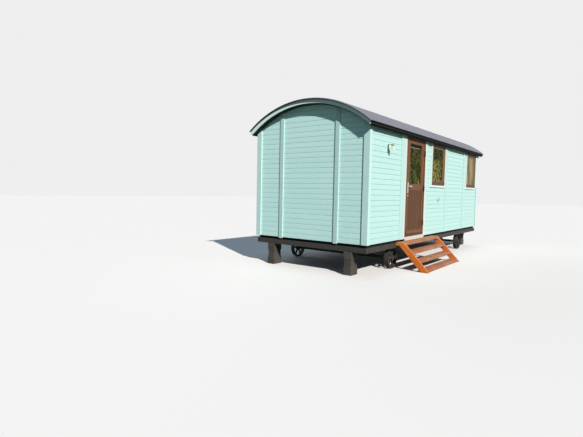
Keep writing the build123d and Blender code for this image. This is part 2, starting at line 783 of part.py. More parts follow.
def whole_hut():
    """All the nodes, by name."""
    nodes = {
        "chassis_rails": chassis_rails(),
        "end_beams": end_beams(),
        "cross_members": cross_members(),
        "support_stacks": stacks(),
        "axles": [axle(x) for x in (NEAR + WHEEL_INSET, FAR - WHEEL_INSET)],
        "floor_base": [floor_base()],
        "floor": [floor()],
        "near_end_wall": [end_wall(near=True)],
        "far_end_wall": [end_wall(near=False)],
        "back_wall": [back_wall()],
        "front_wall_panels": front_wall_panels(),
        "front_wall_under_windows": front_wall_under_windows(),
        "front_wall_plate": [front_wall_plate()],
        "corner_boards": corner_boards(),
        "end_wall_strips": end_strips(),
        "side_wall_strips": side_strips(),
        "door_trim": door_trim(),
        "window_trim": window_trim(),
        "window_sills": window_sills(),
        "roof_deck": [roof_deck()],
        "roof_sheets": roof_sheets(),
        "bargeboards": bargeboards(),
        "eave_boards": eave_boards(),
        "door_frame_posts": door_posts(),
        "door_frame_rails": door_rails(),
        "threshold": [threshold()],
        "door_leaf": [door_leaf()],
        "door_glass": [door_glass()],
        "door_blind": [door_blind()],
        "door_hinge_pins": [hinge_on_post(z) for z in hinge_places()],
        "door_hinge_plates": [hinge_on_leaf(z) for z in hinge_places()],
        "door_handle_plates": handle_plates(),
        "door_handle": door_handle(),
        "window_frames": window_frames(),
        "window_casements": window_casements(),
        "window_glass": window_glass(),
        "wall_lamp": [wall_lamp()],
        "wall_lamp_glass": [wall_lamp_glass()],
        "hold_back_hook": [hold_back_hook()],
        "step_stringers": step_stringers(),
    }
    for i in range(TREAD_COUNT):
        nodes[f"step_tread_{i + 1}"] = [step_tread(i)]
    for end, x in (("near", NEAR + WHEEL_INSET), ("far", FAR - WHEEL_INSET)):
        for side_name, side in (("front", -1), ("back", 1)):
            nodes[f"{end}_{side_name}_wheel"] = [wheel(x, side)]
    return nodes


os.makedirs("parts", exist_ok=True)
for name, solids in whole_hut().items():
    parts = [solid for shape in solids for solid in shape.solids()]
    shape = parts[0] if len(parts) == 1 else Compound(children=parts)
    shape.label = name
    export_step(shape, f"parts/{name}.step")
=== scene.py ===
"""The finishes and fine detail of a shepherds hut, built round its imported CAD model.

Metres throughout. X runs along the body, Y across it from the door side to the back, and Z up."""

import json
from contextlib import contextmanager
from math import asin, cos, pi, radians, sin, sqrt

import bmesh
import bpy
from mathutils import Matrix, Vector

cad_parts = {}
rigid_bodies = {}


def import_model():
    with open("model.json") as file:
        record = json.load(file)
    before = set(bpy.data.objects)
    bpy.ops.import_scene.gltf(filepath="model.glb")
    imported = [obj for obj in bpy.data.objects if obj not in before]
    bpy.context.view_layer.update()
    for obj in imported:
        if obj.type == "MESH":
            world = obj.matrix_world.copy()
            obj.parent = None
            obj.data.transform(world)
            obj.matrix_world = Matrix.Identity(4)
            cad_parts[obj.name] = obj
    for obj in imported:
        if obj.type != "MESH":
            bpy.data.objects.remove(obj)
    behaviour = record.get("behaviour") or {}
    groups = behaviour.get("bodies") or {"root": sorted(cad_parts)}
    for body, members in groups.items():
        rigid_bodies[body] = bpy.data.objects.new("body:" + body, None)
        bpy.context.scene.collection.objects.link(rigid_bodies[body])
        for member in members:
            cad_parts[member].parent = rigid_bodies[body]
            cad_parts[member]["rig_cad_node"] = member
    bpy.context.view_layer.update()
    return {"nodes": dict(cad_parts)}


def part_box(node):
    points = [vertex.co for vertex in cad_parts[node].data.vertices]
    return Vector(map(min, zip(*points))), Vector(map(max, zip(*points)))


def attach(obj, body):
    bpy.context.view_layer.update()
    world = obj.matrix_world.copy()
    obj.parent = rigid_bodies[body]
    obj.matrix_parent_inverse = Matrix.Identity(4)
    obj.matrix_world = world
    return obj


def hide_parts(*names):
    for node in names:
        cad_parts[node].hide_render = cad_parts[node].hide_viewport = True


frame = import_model()
nodes = frame["nodes"]

# The body's planes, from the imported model
(NEAR, FRONT, FOOT), (FAR, BACK, _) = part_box("corner_boards")
Y_MID = (FRONT + BACK) / 2
TRIM_T = 0.020           # the trim stands this far out from the wall boards
CORNER_SIDE_W = 0.095    # a corner board's face on the door side
OUTER_FRONT, OUTER_BACK = FRONT + TRIM_T, BACK - TRIM_T
OUTER_NEAR, OUTER_FAR = NEAR + TRIM_T, FAR - TRIM_T

# The roof's arch: its radii and axis from the deck's rise over the sheets' span
sheets_low, sheets_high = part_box("roof_sheets")
deck_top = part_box("roof_deck")[1].z
rise, half_span = deck_top - sheets_low.z, sheets_high.y - Y_MID
DECK_R = (rise**2 + half_span**2) / (2 * rise)
ARCH_Z = deck_top - DECK_R
WALL_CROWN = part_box("near_end_wall")[1].z
ARCH_R = WALL_CROWN - ARCH_Z
ARCH_AXIS = (0, Y_MID, ARCH_Z)

# Wall boards
COURSE = 0.1024          # from one board to the next
SIDE_COURSES = 22
END_COURSES = 26         # more than enough, because the arch cuts them off
BOARD_T = 0.016
BOARD_GAP = 0.0030
BOARD_CHAMFER = 0.0050
LINING_BOARD = 0.090     # width of the upright boards inside
FLOOR_BOARDS = 21
SPLASH = (0.36, 0.08)    # over the foot: no rain splash above the first, all of it under the second

# The door's lower panel, from the leaf's edges and foot
PANEL_EDGE = 0.095
PANEL_FOOT = 0.105
PANEL_TOP = 0.965
PANEL_BOARDS = 8

# Roof sheets
WAVES = 98               # corrugations along the roof
WAVE_DEPTH = 0.0165
SHEET_T = 0.0012
WAVE_PITCH = 2 * sheets_high.x / WAVES
SHEET_SLACK = 0.0015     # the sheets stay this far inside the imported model
SHEET_TOP_R = sheets_high.z - ARCH_Z - SHEET_SLACK     # radius over the crests
SHEET_LAPS = (0, 18, 49, 80, 98)
DECK_PLANED = 0.017      # taken off the deck's sharp lower corners

# Bolts, screws and roof fixings
WASHER_R = 0.017
BOLT_HEAD_R = 0.0125
BEAM_BOLT_IN = 0.10      # from an end beam's end to its first bolt
BEAM_BOLT_STEPS = (0.16, 2.204, 2.364)     # from that bolt to the beam's others
RAIL_BOLT_IN = 0.12
RAIL_BOLT_STEPS = (1.20, 1.32, 3.36, 3.48, 5.53, 5.65, 6.85)
TREADS = 4
SCREW_IN = 0.025         # from a tread's end
SCREW_BACK = 0.045       # and from its front edge
SCREW_APART = 0.100
FIXING_ANGLES = (-37.5, -27.0, -16.5, -6.0, 6.0, 16.5, 27.0, 37.5)
FIXING_CRESTS = 3        # crests from one row of fixings to the next

# The beads in front of the panes, and the bar on the door's foot
BEAD_OUT = 0.012
BAR_OUT = 0.021
BAR_FALL = 0.024         # its top slopes down by this

# The blind behind the door's glass
BLIND_BOX = 0.032        # height of its head box
BLIND_BAR = 0.010
BLIND_CLEAR = 0.003      # the cloth stops this far short of both ends
PLEATS = 9
PLEAT_DEPTH = 0.010

# The photograph's camera: degrees, millimetres, and metres from the body's near front foot
CAMERA_YAW, CAMERA_PITCH, CAMERA_ROLL = 37.816, -3.580, 1.124
LENS, SENSOR_W = 26.429, 36.0
CAMERA_FROM_CORNER = (-6.9377, -3.6421, 0.9548)


# Modelling

def only(*pieces):
    """Selects these pieces alone, and makes the last one active."""
    bpy.ops.object.select_all(action="DESELECT")
    for piece in pieces:
        piece.select_set(True)
    bpy.context.view_layer.objects.active = pieces[-1]


@contextmanager
def editing(piece):
    """Edit mode on one piece, with nothing selected in it."""
    only(piece)
    bpy.ops.object.mode_set(mode="EDIT")
    bpy.ops.mesh.select_mode(type="FACE")
    bpy.ops.mesh.select_all(action="DESELECT")
    yield
    bpy.ops.object.mode_set(mode="OBJECT")


def pick(piece, test, kind="FACE"):
    """In edit mode, selects the faces, edges or vertices that pass the test."""
    bpy.ops.mesh.select_mode(type=kind)
    bpy.ops.mesh.select_all(action="DESELECT")
    shape = bmesh.from_edit_mesh(piece.data)
    for part in {"FACE": shape.faces, "EDGE": shape.edges, "VERT": shape.verts}[kind]:
        if test(part):
            part.select_set(True)
    shape.select_flush_mode()
    bmesh.update_edit_mesh(piece.data)


def runs(edge, axis):
    """True if the edge lies along the axis: 0, 1 or 2."""
    run = edge.verts[1].co - edge.verts[0].co
    return abs(run[axis]) > 0.99 * run.length


def all_at(part, axis, place, within=0.0004):
    """True if every vertex of a face or edge is at this place on the axis."""
    return all(abs(v.co[axis] - place) < within for v in part.verts)


def settle(name):
    """Names the new primitive and puts its place, turn and size into its mesh."""
    piece = bpy.context.active_object
    piece.name = piece.data.name = name
    bpy.ops.object.transform_apply(location=True, rotation=True, scale=True)
    return piece


def block(name, low, high):
    """A cube between two corners, to be shaped."""
    low, high = Vector(low), Vector(high)
    bpy.ops.mesh.primitive_cube_add(size=1, location=(low + high) / 2)
    bpy.context.active_object.scale = high - low
    return settle(name)


def rod(name, centre, radius, length, axis, sides=16):
    """A cylinder along an axis, to be shaped."""
    turn = {0: (0, pi / 2, 0), 1: (pi / 2, 0, 0), 2: (0, 0, 0)}[axis]
    bpy.ops.mesh.primitive_cylinder_add(
        vertices=sides, radius=radius, depth=length, location=centre, rotation=turn)
    return settle(name)


def modify(piece, kind, **settings):
    """Adds a modifier and applies it."""
    only(piece)
    made = piece.modifiers.new(kind.title(), kind)
    for setting, value in settings.items():
        setattr(made, setting, value)
    bpy.ops.object.modifier_apply(modifier=made.name)
    return piece


def repeat(piece, count, step):
    """A row of copies within the piece."""
    modify(piece, "ARRAY", count=count, use_relative_offset=False, use_constant_offset=True,
           constant_offset_displace=step)


def cut(piece, cutter, how="DIFFERENCE"):
    """Cuts a piece with another, which is then thrown away."""
    modify(piece, "BOOLEAN", operation=how, object=cutter, solver="EXACT")
    bpy.data.objects.remove(cutter)


def shade(piece, angle=38):
    """Smooth over the rounds, flat over the flats."""
    only(piece)
    bpy.ops.object.shade_smooth_by_angle(angle=radians(angle))
    return modify(piece, "WEIGHTED_NORMAL", keep_sharp=True)


def soften(piece, width, segments=2, angle=32):
    """Takes the sharp edges off."""
    modify(piece, "BEVEL", width=width, segments=segments, limit_method="ANGLE",
           angle_limit=radians(angle))
    return shade(piece)


def joined(name, pieces):
    """Several meshes made one piece."""
    only(*pieces)
    if len(pieces) > 1:
        bpy.ops.object.join()
    piece = bpy.context.active_object
    piece.name = piece.data.name = name
    return piece


def copied(piece, name, shift=(0, 0, 0)):
    """A copy with its own mesh, moved within that mesh."""
    only(piece)
    bpy.ops.object.duplicate()
    made = bpy.context.active_object
    made.name = made.data.name = name
    with editing(made):
        bpy.ops.mesh.select_all(action="SELECT")
        bpy.ops.transform.translate(value=shift)
    return made


def welded(node, name):
    """A CAD node's shape as one welded surface, ready for shaping."""
    only(nodes[node])
    bpy.ops.object.duplicate()
    piece = bpy.context.active_object
    del piece["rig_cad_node"]
    piece.name = piece.data.name = name
    bpy.ops.mesh.customdata_custom_splitnormals_clear()
    with editing(piece):
        bpy.ops.mesh.select_all(action="SELECT")
        bpy.ops.mesh.remove_doubles(threshold=0.00002)
        bpy.ops.mesh.dissolve_limited(angle_limit=radians(0.8))
    return piece


def dress(piece, body, finish, stands_for=()):
    """Gives a piece its finish and its body, and hides the CAD nodes that it stands for."""
    piece.data.materials.clear()
    piece.data.materials.append(finish)
    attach(piece, body)
    if stands_for:
        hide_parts(*stands_for)


# Finishes

class Finish:
    """A procedural material, built node by node."""

    def __init__(self, name, colour, roughness, metallic=0.0, **sockets):
        self.material = bpy.data.materials.new(name)
        self.material.use_nodes = True
        self.tree = self.material.node_tree
        self.shader = self.tree.nodes["Principled BSDF"]
        self.place = self.node("TexCoord").outputs["Object"]
        self.give("Base Color", (*colour, 1.0))
        self.give("Roughness", roughness)
        self.give("Metallic", metallic)
        for socket, value in sockets.items():
            self.give(socket.replace("_", " "), value)

    def give(self, socket, value):
        """Sets or links one of the shader's sockets."""
        if isinstance(value, bpy.types.NodeSocket):
            self.tree.links.new(value, self.shader.inputs[socket])
        else:
            self.shader.inputs[socket].default_value = value

    def node(self, kind, inputs=(), **settings):
        """Adds a shader node, with values or links for its inputs."""
        made = self.tree.nodes.new("ShaderNode" + kind)
        for setting, value in settings.items():
            setattr(made, setting, value)
        for socket, value in dict(inputs).items():
            if isinstance(value, bpy.types.NodeSocket):
                self.tree.links.new(value, made.inputs[socket])
            else:
                made.inputs[socket].default_value = value
        return made

    def stretched(self, scale, turn=(0, 0, 0)):
        """The object's coordinates, turned and scaled."""
        turned = self.node("Mapping", {"Vector": self.place, "Rotation": turn}).outputs[0]
        return self.node("Mapping", {"Vector": turned, "Scale": scale}).outputs[0]

    def noise(self, vector, scale, detail=4.0, rough=0.55, twist=0.0):
        return self.node("TexNoise", {"Vector": vector, "Scale": scale, "Detail": detail,
                                      "Roughness": rough, "Distortion": twist}).outputs["Fac"]

    def spread(self, value, low, high, to_low=0.0, to_high=1.0):
        """Maps the range from low to high to another one, and stays inside that."""
        return self.node("MapRange", {"Value": value, 1: low, 2: high, 3: to_low,
                                      4: to_high}).outputs[0]

    def math(self, how, one, other):
        return self.node("Math", {0: one, 1: other}, operation=how).outputs[0]

    def plus(self, one, other):
        return self.math("ADD", one, other)

    def times(self, one, other):
        return self.math("MULTIPLY", one, other)

    def within(self, value, low, high):
        """1 between low and high, and 0 elsewhere."""
        return self.times(self.math("GREATER_THAN", value, low), self.math("LESS_THAN", value, high))

    def mixed(self, share, one, other):
        """Two colours mixed; a plain colour is three numbers."""
        one, other = [c if isinstance(c, bpy.types.NodeSocket) else (*c, 1.0) for c in (one, other)]
        return self.node("Mix", {0: share, 6: one, 7: other}, data_type="RGBA").outputs[2]

    def bumped(self, height, distance, strength=1.0):
        self.give("Normal", self.node("Bump", {"Height": height, "Distance": distance,
                                               "Strength": strength}).outputs[0])

    def axis(self, number):
        """One coordinate by itself."""
        return self.node("SeparateXYZ", {0: self.place}).outputs[number]


def shades(colour, factor):
    """A lighter or darker colour."""
    return tuple(min(1.0, c * factor) for c in colour)


def paint(name, colour, stretch, courses=False, dirt_and_shade=0.5, gloss=0.18):
    """Brushed paint on timber: brush marks along the grain, weather in patches, splash at the foot.

    With courses, each wall board has a slightly different tone."""
    f = Finish(name, colour, 0.5, Specular_IOR_Level=gloss)
    grain = f.noise(f.stretched(stretch), 9.0, 6.0, 0.62, 0.25)
    weather = f.noise(f.place, 1.1, 5.0, 0.6)
    fine = f.noise(f.place, 34.0, 4.0, 0.6)
    tone = f.mixed(f.spread(grain, 0.30, 0.72), shades(colour, 0.90), shades(colour, 1.05))
    chalked = (colour[0] * 1.10, colour[1], colour[2])
    tone = f.mixed(f.spread(weather, 0.38, 0.68, 0.0, 0.35), tone, chalked)
    if courses:
        height = f.math("SUBTRACT", f.axis(2), FOOT)
        course = f.math("FLOOR", f.math("DIVIDE", height, COURSE), 0)
        chance = f.node("TexWhiteNoise", {"W": course}, noise_dimensions="1D").outputs["Value"]
        tone = f.mixed(f.spread(chance, 0.0, 1.0, 0.0, 0.5), tone, shades(colour, 0.93))
    ragged = f.plus(f.axis(2), f.times(weather, 0.35))
    splash = f.times(f.spread(ragged, FOOT + SPLASH[0], FOOT + SPLASH[1]), f.spread(fine, 0.50, 0.72))
    tone = f.mixed(f.times(splash, dirt_and_shade), tone, (0.42, 0.40, 0.34))
    knots = f.spread(f.noise(f.stretched([s * 0.6 for s in stretch]), 5.0, 2.0), 0.73, 0.80, 0, 0.16)
    tone = f.mixed(knots, tone, shades(colour, 0.72))
    f.give("Base Color", tone)
    f.give("Roughness", f.spread(weather, 0.3, 0.7, 0.42, 0.60))
    f.bumped(f.plus(grain, f.times(fine, 0.25)), 0.0011, 0.7)
    return f.material


def stain(name, colour, pale, stretch, turn=(0, 0, 0), wear=0.35, rough=0.45, joints_and_shade=None,
          gloss=0.12):
    """Woodstain that lets the grain through, faded in patches; joints_and_shade darkens some places:
    dark joints in the lining, painted shade in the door panel, a darker foot on the window rails.
    """
    f = Finish(name, colour, rough, Specular_IOR_Level=gloss)
    along = f.stretched(stretch, turn)
    grain = f.noise(along, 11.0, 7.0, 0.66, 0.6)
    pores = f.noise(along, 46.0, 3.0, 0.6)
    patch = f.noise(f.place, 3.2, 4.0, 0.6)
    tone = f.mixed(f.spread(grain, 0.32, 0.70), shades(colour, 0.66), shades(colour, 1.22))
    tone = f.mixed(f.spread(patch, 0.42, 0.72, 0.0, wear), tone, pale)
    tone = f.mixed(f.spread(pores, 0.60, 0.72, 0.0, 0.4), tone, shades(colour, 0.40))
    if joints_and_shade:
        tone = f.mixed(joints_and_shade(f), tone, shades(colour, 0.22))
    f.give("Base Color", tone)
    f.give("Roughness", f.spread(grain, 0.3, 0.7, rough - 0.10, rough + 0.15))
    f.bumped(f.plus(grain, f.times(pores, 0.4)), 0.0012, 0.8)
    return f.material


def panel_groove_shade(f):
    """Painted shade: dark lines along the grooves of the door's lower panel, and the panel between
    them darker.
    """
    low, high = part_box("door_leaf")
    x_low, x_high = low.x + PANEL_EDGE, high.x - PANEL_EDGE
    half = (x_high - x_low) / PANEL_BOARDS / 2
    off = f.math("PINGPONG", f.math("SUBTRACT", f.axis(0), x_low), half)
    beside = f.spread(off, 0.013, 0.004)
    upright = f.within(f.axis(2), low.z + PANEL_FOOT, low.z + PANEL_TOP)
    across = f.within(f.axis(0), x_low - 0.001, x_high + 0.001)
    return f.times(f.math("MAXIMUM", beside, 0.40), f.times(upright, across))


def rail_foot_darkening(f):
    """Darker along the windows' bottom rails."""
    glass_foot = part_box("window_glass")[0].z
    return f.spread(f.axis(2), glass_foot + 0.004, glass_foot - 0.006, 0.0, 0.72)


def lining_joints(f):
    """Dark lines where the upright lining boards meet."""
    off = f.math("PINGPONG", f.plus(f.axis(0), f.axis(1)), LINING_BOARD / 2)
    return f.spread(off, 0.0035, 0.0015, 0.0, 0.9)


def metal(name, colour, rough, metallic, rust=0.0, scale=14.0, depth=0.0006, gloss=0.5):
    """Metal or painted metal, with handling marks, dust and some rust."""
    f = Finish(name, colour, rough, metallic, Specular_IOR_Level=gloss)
    patch = f.noise(f.place, scale, 5.0, 0.62)
    fine = f.noise(f.place, scale * 9, 4.0, 0.6)
    tone = f.mixed(f.spread(fine, 0.35, 0.7), shades(colour, 0.82), shades(colour, 1.12))
    if rust:
        tone = f.mixed(f.spread(patch, 0.56, 0.70, 0.0, rust), tone, (0.20, 0.085, 0.035))
    f.give("Base Color", tone)
    f.give("Roughness", f.spread(patch, 0.3, 0.7, max(0.05, rough - 0.10), min(1, rough + 0.18)))
    f.bumped(f.plus(fine, f.times(patch, 0.6)), depth, 0.6)
    return f.material


def corrugated_coating():
    """Coated steel: chalked lilac grey, streaked down the slope, a little lichen."""
    colour = (0.170, 0.172, 0.205)
    f = Finish("coated_corrugated_steel", colour, 0.55, Specular_IOR_Level=0.15)
    streak = f.noise(f.stretched((14.0, 1.0, 1.0)), 3.0, 6.0, 0.62)
    patch = f.noise(f.place, 2.1, 6.0, 0.6)
    fine = f.noise(f.place, 70.0, 3.0, 0.6)
    tone = f.mixed(f.spread(streak, 0.32, 0.70), shades(colour, 0.84), shades(colour, 1.16))
    tone = f.mixed(f.spread(patch, 0.48, 0.72, 0.0, 0.45), tone, (0.21, 0.205, 0.225))
    lichen = f.times(f.spread(fine, 0.60, 0.68), f.spread(patch, 0.55, 0.70))
    tone = f.mixed(lichen, tone, (0.24, 0.25, 0.18))
    f.give("Base Color", tone)
    f.give("Roughness", f.spread(patch, 0.3, 0.7, 0.40, 0.62))
    f.bumped(fine, 0.0004, 0.5)
    return f.material


def barge_lightened_and_shaded():
    """Painted light: the duck-egg paint made much lighter to stand for the sunlit boards, with painted
    shade in a dark band under the sheets' edge.
    """
    colour = (0.82, 0.98, 0.95)
    f = Finish("bargeboard_paint_lightened_and_shaded", colour, 0.5, Specular_IOR_Level=0.15)
    out = f.node("Mapping", {"Vector": f.place, "Location": (0, -Y_MID, -ARCH_Z),
                             "Scale": (0, 1, 1)}).outputs[0]
    radius = f.node("VectorMath", {0: out}, operation="LENGTH").outputs["Value"]
    grain = f.noise(f.stretched((9.0, 2.0, 2.0)), 9.0, 6.0, 0.62, 0.25)
    ragged = f.plus(radius, f.spread(grain, 0.3, 0.7, -0.006, 0.006))
    tone = f.mixed(f.spread(grain, 0.30, 0.72), shades(colour, 0.95), colour)
    # Painted shade: the boards darken towards the sheets' edge, standing for the shadow that the
    # sheets cast on them.
    dirt_and_shade = f.spread(ragged, DECK_R - 0.032, DECK_R - 0.004, 0.0, 0.8)
    tone = f.mixed(dirt_and_shade, tone, (0.19, 0.28, 0.27))
    f.give("Base Color", tone)
    f.bumped(grain, 0.0011, 0.6)
    return f.material


# The painted reflection on the panes, by place in the hut's frame
REFLECTION_Z = (1.75, 2.60)         # it fades out upwards between these heights
NEAR_REFLECTION_X = (0.40, 0.10)    # the near window has a bright painted reflection where x and z are lower than these
NEAR_REFLECTION_Z = (2.42, 2.30)
WARM_REFLECTION_X = 2.0                   # the far window, past this, has a warm painted reflection


def dark_glass(name, scale, reflected_green, warm_reflection_x=None, clear=None):
    """Window glass over a dark room, with a painted reflection: dark green mottling, brighter patches
    lower down, and a warm streak past x = warm_reflection_x.

    Above z = clear it lets the blind behind it be seen."""
    solid = 0.94
    f = Finish(name, (0.02, 0.025, 0.01), 0.06, Specular_IOR_Level=0.008, Alpha=solid)
    wide = f.noise(f.stretched((2.2, 1.0, 1.0)), scale, 4.0, 0.62, 0.8)
    fine = f.noise(f.place, scale * 6, 8.0, 0.62, 0.25)
    low = f.spread(f.axis(2), *REFLECTION_Z, 1.0, 0.0)
    # Painted reflection: brighter patches over the dark green mottle, fading upwards.
    reflection_share = f.times(f.spread(wide, 0.46, 0.62), f.plus(f.times(low, 0.8), 0.2))
    tone = f.mixed(f.spread(fine, 0.42, 0.60), (0.002, 0.004, 0.001), reflected_green)
    if warm_reflection_x:
        near = f.times(f.spread(f.axis(0), *NEAR_REFLECTION_X), f.spread(f.axis(2), *NEAR_REFLECTION_Z))
        reflection_share = f.math("MAXIMUM", f.times(reflection_share, 0.5), near)
    painted_reflection = f.times(reflection_share, f.spread(fine, 0.42, 0.60, 0.04, 1.0))
    tone = f.mixed(painted_reflection, tone, (0.26, 0.255, 0.058))
    if warm_reflection_x:
        # Painted reflection: a warm pale streak in the far window.
        streak = f.noise(f.stretched((9.0, 1.0, 0.6)), 1.3, 3.0, 0.6)
        past = f.spread(f.axis(0), warm_reflection_x, warm_reflection_x + 0.02)
        share = f.times(past, f.spread(streak, 0.44, 0.60, 0.15, 0.85))
        tone = f.mixed(share, tone, (0.41, 0.32, 0.175))
    if clear:
        f.give("Alpha", f.spread(f.axis(2), clear - 0.004, clear + 0.004, solid, 0.15))
    f.give("Base Color", tone)
    f.bumped(wide, 0.0006, 0.4)
    return f.material


def lamp_finish():
    """A black plate on the wall, with an arm and a cap of dull brass in front of it."""
    f = Finish("lamp_metal", (0.030, 0.034, 0.036), 0.45, 0.4)
    worn = f.noise(f.place, 50.0, 5.0, 0.6)
    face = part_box("wall_lamp")[1].y - 0.014
    black = f.mixed(f.spread(worn, 0.35, 0.70), (0.024, 0.027, 0.029), (0.050, 0.052, 0.050))
    brass = f.mixed(f.spread(worn, 0.35, 0.70), (0.300, 0.210, 0.110), (0.420, 0.330, 0.200))
    f.give("Base Color", f.mixed(f.spread(f.axis(1), face, face - 0.006), black, brass))
    f.bumped(worn, 0.0002, 0.5)
    return f.material


def lantern_glass():
    """Clouded pale glass, a little rougher where it is denser."""
    f = Finish("lantern_opal_glass", (0.80, 0.88, 0.80), 0.25)
    cloud = f.noise(f.place, 60.0, 4.0, 0.6)
    f.give("Base Color", f.mixed(f.spread(cloud, 0.3, 0.7), (0.66, 0.75, 0.66), (0.88, 0.96, 0.86)))
    f.give("Roughness", f.spread(cloud, 0.3, 0.7, 0.18, 0.38))
    return f.material


def blind_weave():
    """Plain woven cloth, warp over weft."""
    f = Finish("blind_cloth", (0.075, 0.073, 0.035), 0.85, Sheen_Weight=0.2)
    warp = f.noise(f.stretched((1.0, 1.0, 0.12)), 900.0, 1.0)
    weft = f.noise(f.stretched((0.12, 1.0, 1.0)), 900.0, 1.0)
    weave = f.plus(warp, weft)
    threads = f.mixed(f.spread(weave, 0.7, 1.3), (0.052, 0.051, 0.024), (0.095, 0.093, 0.045))
    f.give("Base Color", threads)
    f.bumped(weave, 0.0002, 0.8)
    return f.material


# How far brush marks and grain are drawn out along x, y and z
BOARD_BRUSH = (1.0, 1.0, 11.0)
UPRIGHT_BRUSH = (9.0, 9.0, 1.0)
LEVEL_BRUSH = (1.0, 9.0, 9.0)
UPRIGHT_GRAIN = (8.0, 8.0, 0.8)
LEVEL_GRAIN = (0.8, 8.0, 8.0)
STRINGER_SLOPE = radians(43.6)

board_paint = paint("duck_egg_board_paint", (0.512, 0.775, 0.732), BOARD_BRUSH, courses=True)
# Painted light: the end boards get the side boards' duck-egg paint made lighter, so that they read
# brighter under this light.
end_lightened_paint = paint("duck_egg_end_board_paint_lightened", (0.615, 0.925, 0.885), BOARD_BRUSH, courses=True)
trim_paint = paint("duck_egg_trim_paint", (0.560, 0.810, 0.770), UPRIGHT_BRUSH, dirt_and_shade=0.4)
# Painted shade: the cover strips get the trim paint made darker, so that they read darker than the
# corner boards under this light.
strip_darkened_paint = paint("duck_egg_strip_paint_darkened", (0.500, 0.720, 0.685), UPRIGHT_BRUSH, dirt_and_shade=0.4)
# Painted light and shade on the bargeboards: a lightened paint with a dark band under the sheets.
barge_lightened_paint = barge_lightened_and_shaded()
# Painted shade: the deck's soffit and edges are painted near-black to stand for the deep shade under
# the roof's overhangs.
soffit_shade_paint = paint("soffit_shade_paint", (0.020, 0.030, 0.028), LEVEL_BRUSH, dirt_and_shade=0.0, gloss=0.03)
pale_paint = paint("pale_trim_paint", (0.650, 0.740, 0.680), UPRIGHT_BRUSH, dirt_and_shade=0.4)
sill_paint = paint("pale_sill_paint", (0.700, 0.790, 0.735), LEVEL_BRUSH)
threshold_paint = paint("worn_threshold_paint", (0.580, 0.600, 0.540), LEVEL_BRUSH)

lining_boards = stain("lining_boards_varnish", (0.30, 0.205, 0.120), (0.34, 0.25, 0.16), UPRIGHT_GRAIN,
                      wear=0.4, joints_and_shade=lining_joints)
# Painted shade in the door panel's grooves and across the panel.
door_stain = stain("door_woodstain", (0.158, 0.064, 0.024), (0.210, 0.098, 0.044), UPRIGHT_GRAIN,
                   joints_and_shade=panel_groove_shade)
post_stain = stain("door_frame_woodstain", (0.138, 0.058, 0.027), (0.205, 0.104, 0.056), UPRIGHT_GRAIN)
rail_stain = stain("door_rail_woodstain", (0.142, 0.060, 0.028), (0.215, 0.112, 0.062), LEVEL_GRAIN)
window_stain = stain("window_woodstain", (0.225, 0.120, 0.068), (0.28, 0.170, 0.110), UPRIGHT_GRAIN,
                     joints_and_shade=rail_foot_darkening)
stringer_stain = stain("step_stringer_woodstain", (0.74, 0.190, 0.036), (0.61, 0.270, 0.110),
                       (7.0, 7.0, 0.7), (STRINGER_SLOPE, 0, 0), wear=0.25, rough=0.6)
tread_stain = stain("step_tread_woodstain", (0.38, 0.155, 0.075), (0.42, 0.28, 0.20), (0.7, 7.0, 7.0),
                    wear=0.75, rough=0.6)
# Painted shade: near-black for the front eave board, in shade under the sheets, and for the floor base
# in the recess under the walls.
near_black_shade_paint = stain("near_black_painted_shade", (0.012, 0.016, 0.012), (0.020, 0.026, 0.021), LEVEL_GRAIN,
                   wear=0.3, rough=0.6, gloss=0.03)
floor_stain = stain("floor_boards_finish", (0.30, 0.20, 0.12), (0.36, 0.27, 0.18), LEVEL_GRAIN)
# Painted shade: the blocks' timber is made near-black because they stand in the shade under the hut.
stack_stain = stain("weathered_block_timber_darkened_as_shade", (0.075, 0.068, 0.058), (0.12, 0.115, 0.10),
                    (1.2, 1.2, 9.0), wear=0.5, rough=0.75)

chassis_paint = metal("chassis_black_paint", (0.050, 0.048, 0.045), 0.6, 0.0, rust=0.30, scale=7.0,
                      gloss=0.15)
iron_paint = metal("wheel_cast_iron", (0.055, 0.050, 0.046), 0.65, 0.1, rust=0.7, scale=11.0,
                   depth=0.0014, gloss=0.2)
satin_steel = metal("satin_steel", (0.80, 0.80, 0.80), 0.26, 0.9, scale=40.0, depth=0.0001)
hinge_steel = metal("japanned_hinge_steel", (0.085, 0.050, 0.034), 0.45, 0.4, rust=0.12, scale=40.0,
                    depth=0.0002)
zinc = metal("zinc_fixing", (0.30, 0.30, 0.33), 0.45, 0.6, scale=60.0, depth=0.0002)
hook_zinc = metal("galvanised_hook", (0.34, 0.39, 0.37), 0.5, 0.3, rust=0.15, scale=50.0,
                  depth=0.0002)
bolt_steel = metal("blackened_bolt_steel", (0.060, 0.056, 0.052), 0.5, 0.4, rust=0.5, scale=30.0,
                   depth=0.0003)
blind_metal = metal("blind_box_metal", (0.060, 0.055, 0.045), 0.5, 0.1, scale=50.0, depth=0.0001)
bar_paint = metal("blind_bar_paint", (0.85, 0.86, 0.78), 0.4, 0.1, scale=50.0, depth=0.0001)
lamp_metal = lamp_finish()
roof_coating = corrugated_coating()

blind_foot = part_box("door_blind")[0].z
door_pane = dark_glass("door_glass", 3.4, (0.045, 0.055, 0.010), clear=blind_foot - 0.006)
window_pane = dark_glass("window_glass", 2.6, (0.060, 0.070, 0.012), warm_reflection_x=WARM_REFLECTION_X)


# Walls

